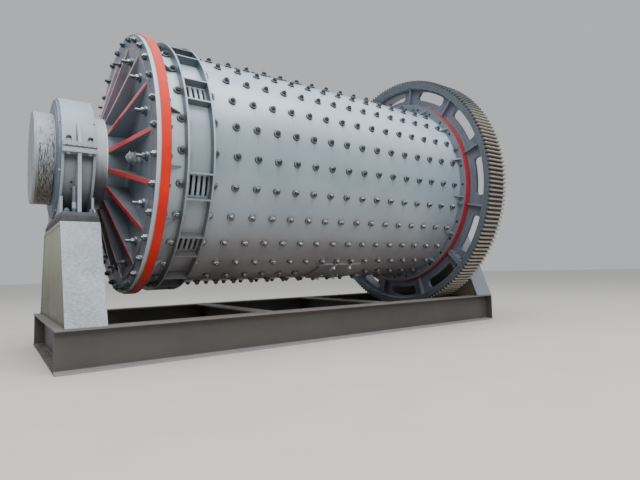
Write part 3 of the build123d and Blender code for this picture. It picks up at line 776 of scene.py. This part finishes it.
def wrappedRing():
    # The end ring: thick coating that has wrinkled and split in upright runs, over dark metal, with painted
    # shade on its lower part
    f = Finish("wrappedRing", specular=0.45)
    w = f.wires
    coat = f.sprayed(*wrapTones["paint"], 5.0, 0.6, 0.4)
    runs = f.noise(1.0, 3.0, 0.6, stretch=wrapTones["runScale"])
    level = w.timesPlus(f.noise(7.0), 0.2, f.lift)
    few = w.timesPlus(w.ramp(level, 0.0, 0.40), 0.12, 0.50)
    split = w.times(w.ramp(runs, few, w.plus(few, 0.05)),
                    w.ramp(f.reach, wrapTones["edgeReach"], wrapTones["edgeReach"] - 0.013))
    # Painted shade darkens the lower part towards the belly tone
    skin = w.mix(w.ramp(level, 0.15, -0.30), coat["Color"], wrapTones["belly"])
    f.dusted(w.tint(skin, wrapTones["split"], split), wrapTones["dust"], 0.2, 0.05)
    f.put("Roughness", w.timesPlus(split, 0.3, 0.42))
    rub = f.effect(edgeRub, Width=0.006, Amount=0.2)
    f.bump(w.minus(w.times(runs, 0.6), split), 0.004, 0.7, rub["Soft Normal"])
    return f.material


# Plain metals: light and dark tone, roughness, metallic
metals = {
    "soleSteel": ("3d4144", "292c2f", 0.55, 0.1), "bushMetal": ("b9a98a", "8f8268", 0.4, 0.8),
    "sleeveSteel": ("6b6e70", "46494b", 0.5, 0.3), "holeBlack": ("111315", "0a0b0c", 0.8, 0.0),
    "jointPaste": ("43484f", "2c3136", 0.7, 0.0), "darkNut": ("3a4046", "23282c", 0.35, 0.2),
    "clampSteel": ("d0d5d8", "8b9398", 0.4, 0.2), "bagFilm": ("77818c", "49525b", 0.3, 0.0),
}


def plainMetal(name, light, dark, roughness, metallic):
    f = Finish(name, roughness=roughness, metallic=metallic)
    f.dusted(f.wires.mix(f.wires.ramp(f.noise(12.0, 4.0), 0.35, 0.65), light, dark), "6e675d", 0.4, 0.1)
    f.bump(f.effect(castSkin, Grain_Scale=200.0, Pit_Amount=0.2)["Height"], 0.0015, 0.5)
    return f.material


nutTones = dict(oilyAndShaded=("31373c", "4f575d"), zincHighlight="d4d9dc")


def zincNut():
    # Bright zinc as a painted highlight on the faces turned up, and painted shade with oil underneath and on
    # the far side
    f = Finish("brightNut", roughness=0.32, metallic=0.4)
    w = f.wires
    # Painted highlight on faces turned up, weak on the far side
    lit = w.ramp(w.timesPlus(f.noise(60.0), 0.5, w.facing()[2]), 0.35, 0.85)
    nearSide = w.ramp(f.across, -0.25, -0.75, 0.15, 1.0)
    f.put("Base Color", w.tint(w.mix(f.noise(25.0), *nutTones["oilyAndShaded"]), nutTones["zincHighlight"], lit, nearSide))
    f.bump(f.effect(castSkin, Grain_Scale=200.0, Pit_Amount=0.2)["Height"], 0.001, 0.4)
    return f.material


finishes = {name: paintedSteel(name, look) for name, look in looks.items()}
finishes.update({name: plainMetal(name, *values) for name, values in metals.items()})
finishes.update(pedestalPaint=pedestalPaint(), gearSteel=gearSteel(), wrappedRing=wrappedRing(),
                brightNut=zincNut())
print("materials built:", len(finishes))

# Which finish a node takes, by its name or the first part of a name that fits
nodeFinish = {
    "manhole_cover": "coverRimPaint", "seal_ring": "sealPaint", "trunnion_cover": "coverPaint",
    "discharge_shell_flange": "dischargeFlangePaint", "drive_shell_flange": "driveFlangePaint",
    "shell_barrel": "shellPaint", "shell_course": "shellPaint", "grates": "shellPaint",
    "band_segments": "shellPaint", "discharge_ring": "ringPaint", "window_dividers": "ringPaint",
    "head": "headPaint", "girth_gear": "gearSteel", "trunnion_ring": "wrappedRing",
    "trunnion_sleeve": "sleeveSteel", "pedestal": "pedestalPaint", "sole_plate": "soleSteel",
    "bearing_bush": "bushMetal", "bearing": "bearingPaint", "beam": "framePaint",
}
for name, node in nodes.items():
    key = next(k for k in nodeFinish if k in name)
    for place in node.material_slots:
        place.material = finishes[nodeFinish[key]]

# Bolts through the shell liners
def underCover(x, turn):
    # Where the manhole cover lies, no bolt stands
    coverTurn = mill["rowPhase"] + 360 / mill["rows"] * linerRows["manholeRow"]
    across = math.radians((turn - coverTurn + 180) % 360 - 180) * mill["shellRadius"]
    halfLong, halfWide = (half + linerRows["coverGap"] for half in linerRows["coverHalf"])
    return abs(x - linerRows["manholeX"]) < halfLong and abs(across) < halfWide


def linerBolts():
    template = boltShape("liner")
    shapes = []
    columns = [linerRows["shortColumn"]]
    columns += [linerRows["firstColumn"] + linerRows["pitch"] * i for i in range(linerRows["columns"])]
    for row in range(mill["rows"]):
        turn = mill["rowPhase"] + 360 / mill["rows"] * row
        for x in columns:
            if underCover(x, turn):
                continue
            spin = random.uniform(0, math.pi)
            spot = radial(x + random.gauss(0, 0.002), mill["shellRadius"], turn + random.gauss(0, 0.06))
            shapes.append(placed(template, outward(turn), (1, 0, 0), spot, spin))
    addPiece("liner_bolts", shapes, "linerBoltPaint", "drum")
    print("liner bolts:", len(shapes))


linerBolts()

# Bolts round the heads and their flanges
boltCircles = dict(flange=dict(radius=1.428, count=32, phase=197.5, driveShift=5.6),
                   head=dict(radius=1.187, count=16, phase=186.25))


def boltCircle(name, kind, x, direction, circle, finish, shift=0.0):
    template = boltShape(kind)
    shapes = []
    for i in range(circle["count"]):
        turn = circle["phase"] + shift + 360 * i / circle["count"]
        spin = random.uniform(0, math.pi)
        shapes.append(onTheFace(template, direction, x, circle["radius"], turn, spin))
    addPiece(name, shapes, finish, "drum")


flangeFace = mill["shellHalf"] + mill["headFlange"]
flange, head = boltCircles["flange"], boltCircles["head"]
boltCircle("discharge_head_nuts", "flange", -flangeFace, -1, flange, "brightNut")
boltCircle("drive_head_nuts", "flange", flangeFace + mill["hubThickness"], 1, flange, "boltPaint",
           shift=flange["driveShift"])
boltCircle("discharge_flange_nuts", "flangeBack", -flangeInner, 1, flange, "brightNut")
boltCircle("discharge_head_liner_bolts", "head", -ribRoot, -1, head, "brightNut")
boltCircle("drive_head_liner_bolts", "head", ribRoot + mill["hubThickness"], 1, head, "boltPaint")
print("head and flange bolts placed")

# Nuts on the split of each bearing and on its foot, its radial screws, drain and joint seam
bearing = dict(spacer=dict(radius=0.028, height=0.022), capSpread=0.098, capReach=0.697, footSpread=0.110,
               footReach=0.690, flangeHeight=0.055, footTop=-0.650, screwCount=8, screwPhase=200.0,
               screwInset=0.012, sealRadius=0.644, roundRadius=0.669, seamReach=0.7365, seamLow=-0.006,
               seamHigh=0.008)
drain = dict(shift=-0.040, reach=0.655, top=-0.400, radius=0.018, couplingRadius=0.021, sides=14,
             plugLift=-0.320, plugShift=-0.012, plugRadius=0.013, bellyRadius=0.610)


def seamStrip(x0, x1, y, z0, z1, side):
    # A ragged dark line of jointing squeezed out along the split
    count = 60
    verts = []
    for i in range(count + 1):
        x = x0 + (x1 - x0) * i / count
        wave = 0.0020 * math.sin(140 * x + side) + 0.0015 * math.sin(263 * x)
        low = z0 + wave - random.uniform(0.0, 0.003)
        high = z1 + wave + random.uniform(-0.002, 0.004)
        back = y - side * 0.004
        verts += [(x, y, low), (x, y, high), (x, back, high + 0.001), (x, back, low - 0.001)]
    return verts, ringFaces(count + 1, 4)


def drainPipe(middle, foot):
    # A capped pipe before the belly, with a bright coupling at its foot and a plug above it
    x, y = middle + drain["shift"], -drain["reach"]
    top = mill["axisHeight"] + drain["top"]
    run = [(x, y, foot - 0.004), (x, y, foot + 0.09), (x, y, top - 0.01), (x, y + 0.004, top),
           (x, y + 0.02, top + 0.010), (x, y + 0.14, top + 0.012)]
    pipe = bead(run, drain["radius"], sides=drain["sides"], ripple=0.0)
    run = [(x, y, foot + rise) for rise in (0.040, 0.070, 0.105)]
    coupling = bead(run, drain["couplingRadius"], sides=drain["sides"], ripple=0.0)
    turn = 180 - math.degrees(math.asin(drain["plugLift"] / drain["bellyRadius"]))
    plug = lathe([(drain["plugRadius"], 0), (drain["plugRadius"], 0.004)], 12)
    return pipe, coupling, roundTheAxis(plug, x + drain["plugShift"], drain["bellyRadius"], turn)


def bearingDetails(label, end):
    middle, axis, split = mill["bearingX"][label], mill["axisHeight"], bearing["flangeHeight"]
    foot = axis + bearing["footTop"]
    capNut, capHead, footNut, screw = (boltShape(k) for k in ("capNut", "capHead", "footNut", "screw"))
    radius, height = bearing["spacer"]["radius"], bearing["spacer"]["height"]
    spacer = lathe([(radius, 0), (radius, height - 0.002), (radius - 0.002, height)], 20)
    nuts, capNuts, heads, seams = [], [], [], []
    for side in (-1, 1):
        for shift in (-1, 1):
            spin = random.uniform(0, 1)
            x, y = middle + shift * bearing["capSpread"], side * bearing["capReach"]
            heads.append(upright(spacer, x, y, axis + split))
            capNuts.append(upright(capNut, x, y, axis + split + height, spin))
            heads.append(upright(capHead, x, y, axis - split, spin, direction=-1))
            x, y = middle + shift * bearing["footSpread"], side * bearing["footReach"]
            nuts.append(upright(footNut, x, y, foot, spin))
        half = mill["bearingHalf"] - 0.002
        seams.append(seamStrip(middle - half, middle + half, side * bearing["seamReach"],
                               axis + bearing["seamLow"], axis + bearing["seamHigh"], side))
    outer = middle + end * (mill["bearingHalf"] + bearing["screwInset"])
    within = middle - end * (mill["bearingHalf"] - bearing["screwInset"])
    for k in range(bearing["screwCount"]):
        turn = bearing["screwPhase"] + 360 * k / bearing["screwCount"]
        heads.append(roundTheAxis(screw, outer, bearing["sealRadius"], turn))
        if math.sin(math.radians(turn)) > 0.12:    # the cap only
            heads.append(roundTheAxis(screw, within, bearing["roundRadius"], turn))
    pipe, coupling, plug = drainPipe(middle, foot)
    for name, shapes, finish, slot in (("_bearing_nuts", nuts + [pipe], "boltPaint", "bearing_paint"),
                                       ("_cap_nuts", capNuts, "darkNut", "bearing_paint"),
                                       ("_bearing_screws", heads, "bearingPaint", "bearing_paint"),
                                       ("_drain_coupling", [coupling], "bearingPaint", "bearing_paint"),
                                       ("_joint_seam", seams + [plug], "jointPaste", "bush_metal")):
        addPiece(label + name, shapes, finish, "base")


bearingDetails("discharge", -1)
bearingDetails("drive", 1)
print("bearing details placed")

# Bolts through the joint flanges of the two gear halves, and the holes and bolts of the drive flange; each
# open hole is a black disc of painted shade
gear = dict(split=43.75, jointFlange=0.040, radii=(1.590, 1.710), shifts=(-0.056, 0.126))
flangeHole = dict(radius=1.430, size=0.020, depth=0.0008, count=32, phase=171.4, bolted=(1, 9, 17, 25, 30))


def gearBolts(label, turn):
    template = boltShape("gearJoint")
    web = mill["shellHalf"] + mill["hubThickness"] / 2
    along, normal = outward(turn), outward(turn + 90)
    centre = Vector((web, 0, mill["axisHeight"]))
    shapes = []
    for side in (-1, 1):
        for radius in gear["radii"]:
            for shift in gear["shifts"]:
                spot = centre + Vector((shift, 0, 0)) + side * radius * along + gear["jointFlange"] * normal
                shapes.append(placed(template, normal, (1, 0, 0), spot, random.uniform(0, 1)))
    addPiece("gear_joint_bolts_" + label, shapes, "boltPaint", "drum")


def flangeHoles():
    holes, nuts = [], []
    template = boltShape("flange")
    # A black disc stands in for the shade inside an open hole
    disc = lathe([(flangeHole["size"], 0), (flangeHole["size"], flangeHole["depth"])], 20)
    for k in range(flangeHole["count"]):
        turn = flangeHole["phase"] - 360 * k / flangeHole["count"]
        shape, group = (template, nuts) if k in flangeHole["bolted"] else (disc, holes)
        group.append(onTheFace(shape, -1, flangeInner, flangeHole["radius"], turn, 0.3 * k))
    addPiece("drive_flange_holes", holes, "holeBlack", "drum")
    addPiece("drive_flange_bolts", nuts, "boltPaint", "drum")


gearBolts("upper", gear["split"])
gearBolts("lower", gear["split"] + 180)
flangeHoles()
print("gear joint and drive flange bolts placed")

# The manhole cover's clamp bars with their nuts
clamp = dict(xs=(0.300, 0.575), halfWidth=0.014, height=0.012, start=0.095, nutAt=0.205, footAt=0.280,
             end=0.300, footRadius=0.012, coverTop=1.4083, steps=8)


def clampBars():
    centreTurn = mill["rowPhase"] + 360 / mill["rows"] * linerRows["manholeRow"]
    coverTop = clamp["coverTop"]
    nut = boltShape("clamp")
    foot = lathe([(clamp["footRadius"], 0), (clamp["footRadius"], coverTop - mill["shellRadius"])], 12)
    shapes = []
    for x in clamp["xs"]:
        for side in (-1, 1):
            footTurn = centreTurn + side * math.degrees(clamp["footAt"] / coverTop)
            nutTurn = centreTurn + side * math.degrees(clamp["nutAt"] / coverTop)
            verts = []
            for i in range(clamp["steps"] + 1):
                along = clamp["start"] + (clamp["end"] - clamp["start"]) * i / clamp["steps"]
                turn = centreTurn + side * math.degrees(along / coverTop)
                for level, dx in ((0.0, -1), (0.0, 1), (1.0, 1), (1.0, -1)):
                    r = coverTop - 0.001 + level * clamp["height"]
                    verts.append(tuple(radial(x + dx * clamp["halfWidth"], r, turn)))
            last = 4 * clamp["steps"]
            faces = ringFaces(clamp["steps"] + 1, 4) + [(3, 2, 1, 0), tuple(range(last, last + 4))]
            shapes.append((verts, faces))
            shapes.append(roundTheAxis(foot, x, mill["shellRadius"], footTurn))
            shapes.append(roundTheAxis(nut, x, coverTop + clamp["height"] - 0.001, nutTurn, 0.4))
    addPiece("manhole_clamps", shapes, "clampSteel", "drum")


clampBars()

# The closing plate's sunk screws show as dark dots round its rim, and one head bolt is bagged up
endPlate = dict(screwSize=0.017, screwHeight=0.00005, count=10, radius=0.466, phase=205.0)
bag = dict(place=(-2.300, 1.003, 186.6), radius=0.046, length=0.165, sides=20, levels=12)


def endPlateScrews():
    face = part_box("discharge_trunnion_cover")[0].x
    disc = lathe([(endPlate["screwSize"], 0), (endPlate["screwSize"], endPlate["screwHeight"])], 16)
    turns = [endPlate["phase"] + 360 * k / endPlate["count"] for k in range(endPlate["count"])]
    shapes = [onTheFace(disc, -1, face, endPlate["radius"], turn) for turn in turns]
    addPiece("closing_plate_screws", shapes, "holeBlack", "drum")


def bagShape():
    # A crumpled plastic bag tied round a bolt end
    sides, levels = bag["sides"], bag["levels"]
    rng = np.random.default_rng(5)
    verts = []
    for level in range(levels + 1):
        t = level / levels
        swell = math.sin(math.pi * min(1.0, 0.18 + 0.82 * t)) ** 0.6 * bag["radius"] + 0.008
        if level == levels:
            swell = 0.004
        for i in range(sides):
            a = 2 * math.pi * i / sides
            r = max(0.003, swell * (1 + 0.22 * rng.standard_normal() * (0.3 + t)))
            verts.append((r * math.cos(a), r * math.sin(a), t * bag["length"]))
    return verts, ringFaces(levels + 1, sides) + [tuple(range(levels * sides, (levels + 1) * sides))]


endPlateScrews()
addPiece("bagged_bolt", [onTheFace(bagShape(), -1, *bag["place"])], "bagFilm", "drum", sharp=60)
print("manhole clamps and bagged bolt placed")

# Weld runs, laid as ropes of metal along the joints
welds = dict(ringRadius=0.0065, frameRadius=0.006, pedestalHalf=0.176, inner=0.970, outer=1.185, lift=0.003,
             step=0.016)


def shellWelds():
    # Round the shell at both faces of each ring plate and at the flanges
    places = []
    for node in ("discharge_ring_outer_plate", "discharge_ring_inner_plate"):
        low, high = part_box(node)
        places += [low.x, high.x]
    radius = mill["shellRadius"] + 0.001
    count = int(2 * math.pi * radius / welds["step"])
    runs = []
    for x in places + [-flangeInner, flangeInner]:
        circle = [radial(x, radius, 360 * i / count) for i in range(count)]
        runs.append(bead(circle, welds["ringRadius"], closed=True, sides=5, seed=len(runs)))
    addPiece("shell_welds", runs, "weldPaint", "drum", sharp=60)


def frameWelds():
    # Along the pedestals' feet, and across them where they stand on the side beams
    runs = []
    for middle in mill["bearingX"].values():
        x0, x1 = middle - welds["pedestalHalf"], middle + welds["pedestalHalf"]
        inner, outer = welds["inner"], welds["outer"]
        lines = [((x0, y), (x1, y)) for y in (-outer, outer)]
        lines += [((x, y0), (x, y1)) for x in (x0, x1) for y0, y1 in ((-outer, -inner), (inner, outer))]
        for start, end in lines:
            start, end = (Vector((*point, mill["beamTop"] + welds["lift"])) for point in (start, end))
            count = max(2, int((end - start).length / welds["step"]))
            points = [start.lerp(end, i / count) for i in range(count + 1)]
            runs.append(bead(points, welds["frameRadius"], seed=len(runs)))
    addPiece("frame_welds", runs, "framePaint", "base", sharp=60)


shellWelds()
frameWelds()
print("welds laid")

# Plain stage, camera and light
view = dict(place=(-3.5379, -5.8275, 0.8584), yaw=35.139, pitch=3.611, roll=-1.421, lens=26.405)
stage = dict(floor=("bdb8b0", "b3aea5"), floorHalf=60, skyLow=(0.36, 0.36, 0.37, 1),
             skyHigh=(1.15, 1.22, 1.32, 1), backdrop=(0.66, 0.67, 0.69, 1), skyStrength=0.8)
panels = dict(skyPanel=dict(place=(-2.0, -4.0, 12.0), target=(0, 0, 1.5), size=(14, 12), power=2300,
                            colour=(0.95, 0.98, 1.0)),
              frontPanel=dict(place=(-3.0, -14.0, 8.0), target=(-0.5, 0, 2.2), size=(9, 5), power=1100,
                              colour=(1.0, 0.99, 0.97)))


def camera():
    yaw, pitch, roll = (math.radians(view[k]) for k in ("yaw", "pitch", "roll"))
    forward = Vector((math.sin(yaw) * math.cos(pitch), math.cos(yaw) * math.cos(pitch), math.sin(pitch)))
    level = Vector((math.cos(yaw), -math.sin(yaw), 0))
    lift = level.cross(forward)
    right = math.cos(roll) * level + math.sin(roll) * lift
    up = -math.sin(roll) * level + math.cos(roll) * lift
    data = bpy.data.cameras.new("photoCamera")
    data.sensor_width = 36
    data.lens = view["lens"]
    data.clip_end = 200
    eye = bpy.data.objects.new("photoCamera", data)
    eye.matrix_world = Matrix.Translation(view["place"]) @ Matrix((right, up, -forward)).transposed().to_4x4()
    bpy.context.scene.collection.objects.link(eye)
    bpy.context.scene.camera = eye


def areaLight(name, panel):
    data = bpy.data.lights.new(name, "AREA")
    data.shape = "RECTANGLE"
    data.size, data.size_y = panel["size"]
    data.energy = panel["power"]
    data.color = panel["colour"]
    lamp = bpy.data.objects.new(name, data)
    lamp.location = panel["place"]
    aim = Vector(panel["target"]) - Vector(panel["place"])
    lamp.rotation_euler = aim.to_track_quat("-Z", "Y").to_euler()
    bpy.context.scene.collection.objects.link(lamp)


def skyWorld():
    # Bright overhead, dimmer towards the ground, and an even pale grey where the camera looks past the mill
    world = bpy.data.worlds.new("studioWorld")
    world.use_nodes = True
    w = Wiring(world.node_tree)
    background = world.node_tree.nodes["Background"]
    height = w.parts(w.add("TexCoord")["Generated"])[2]
    glow = w.mix(w.ramp(height, -0.05, 0.75), stage["skyLow"], stage["skyHigh"])
    seen = w.add("LightPath")["Is Camera Ray"]
    w.put(background.inputs[0], w.mix(seen, glow, stage["backdrop"]))
    w.put(background.inputs[1], stage["skyStrength"])
    bpy.context.scene.world = world


def paleFloor():
    mesh = bpy.data.meshes.new("floor")
    half = stage["floorHalf"]
    corners = [(-half, -half, 0), (half, -half, 0), (half, half, 0), (-half, half, 0)]
    mesh.from_pydata(corners, [], [(0, 1, 2, 3)])
    floor = bpy.data.objects.new("floor", mesh)
    bpy.context.scene.collection.objects.link(floor)
    f = Finish("floorPale", roughness=0.8)
    f.put("Base Color", f.wires.mix(f.noise(2.0), *stage["floor"]))
    mesh.materials.append(f.material)


camera()
skyWorld()
for name, panel in panels.items():
    areaLight(name, panel)
paleFloor()
print("stage, camera and light ready")
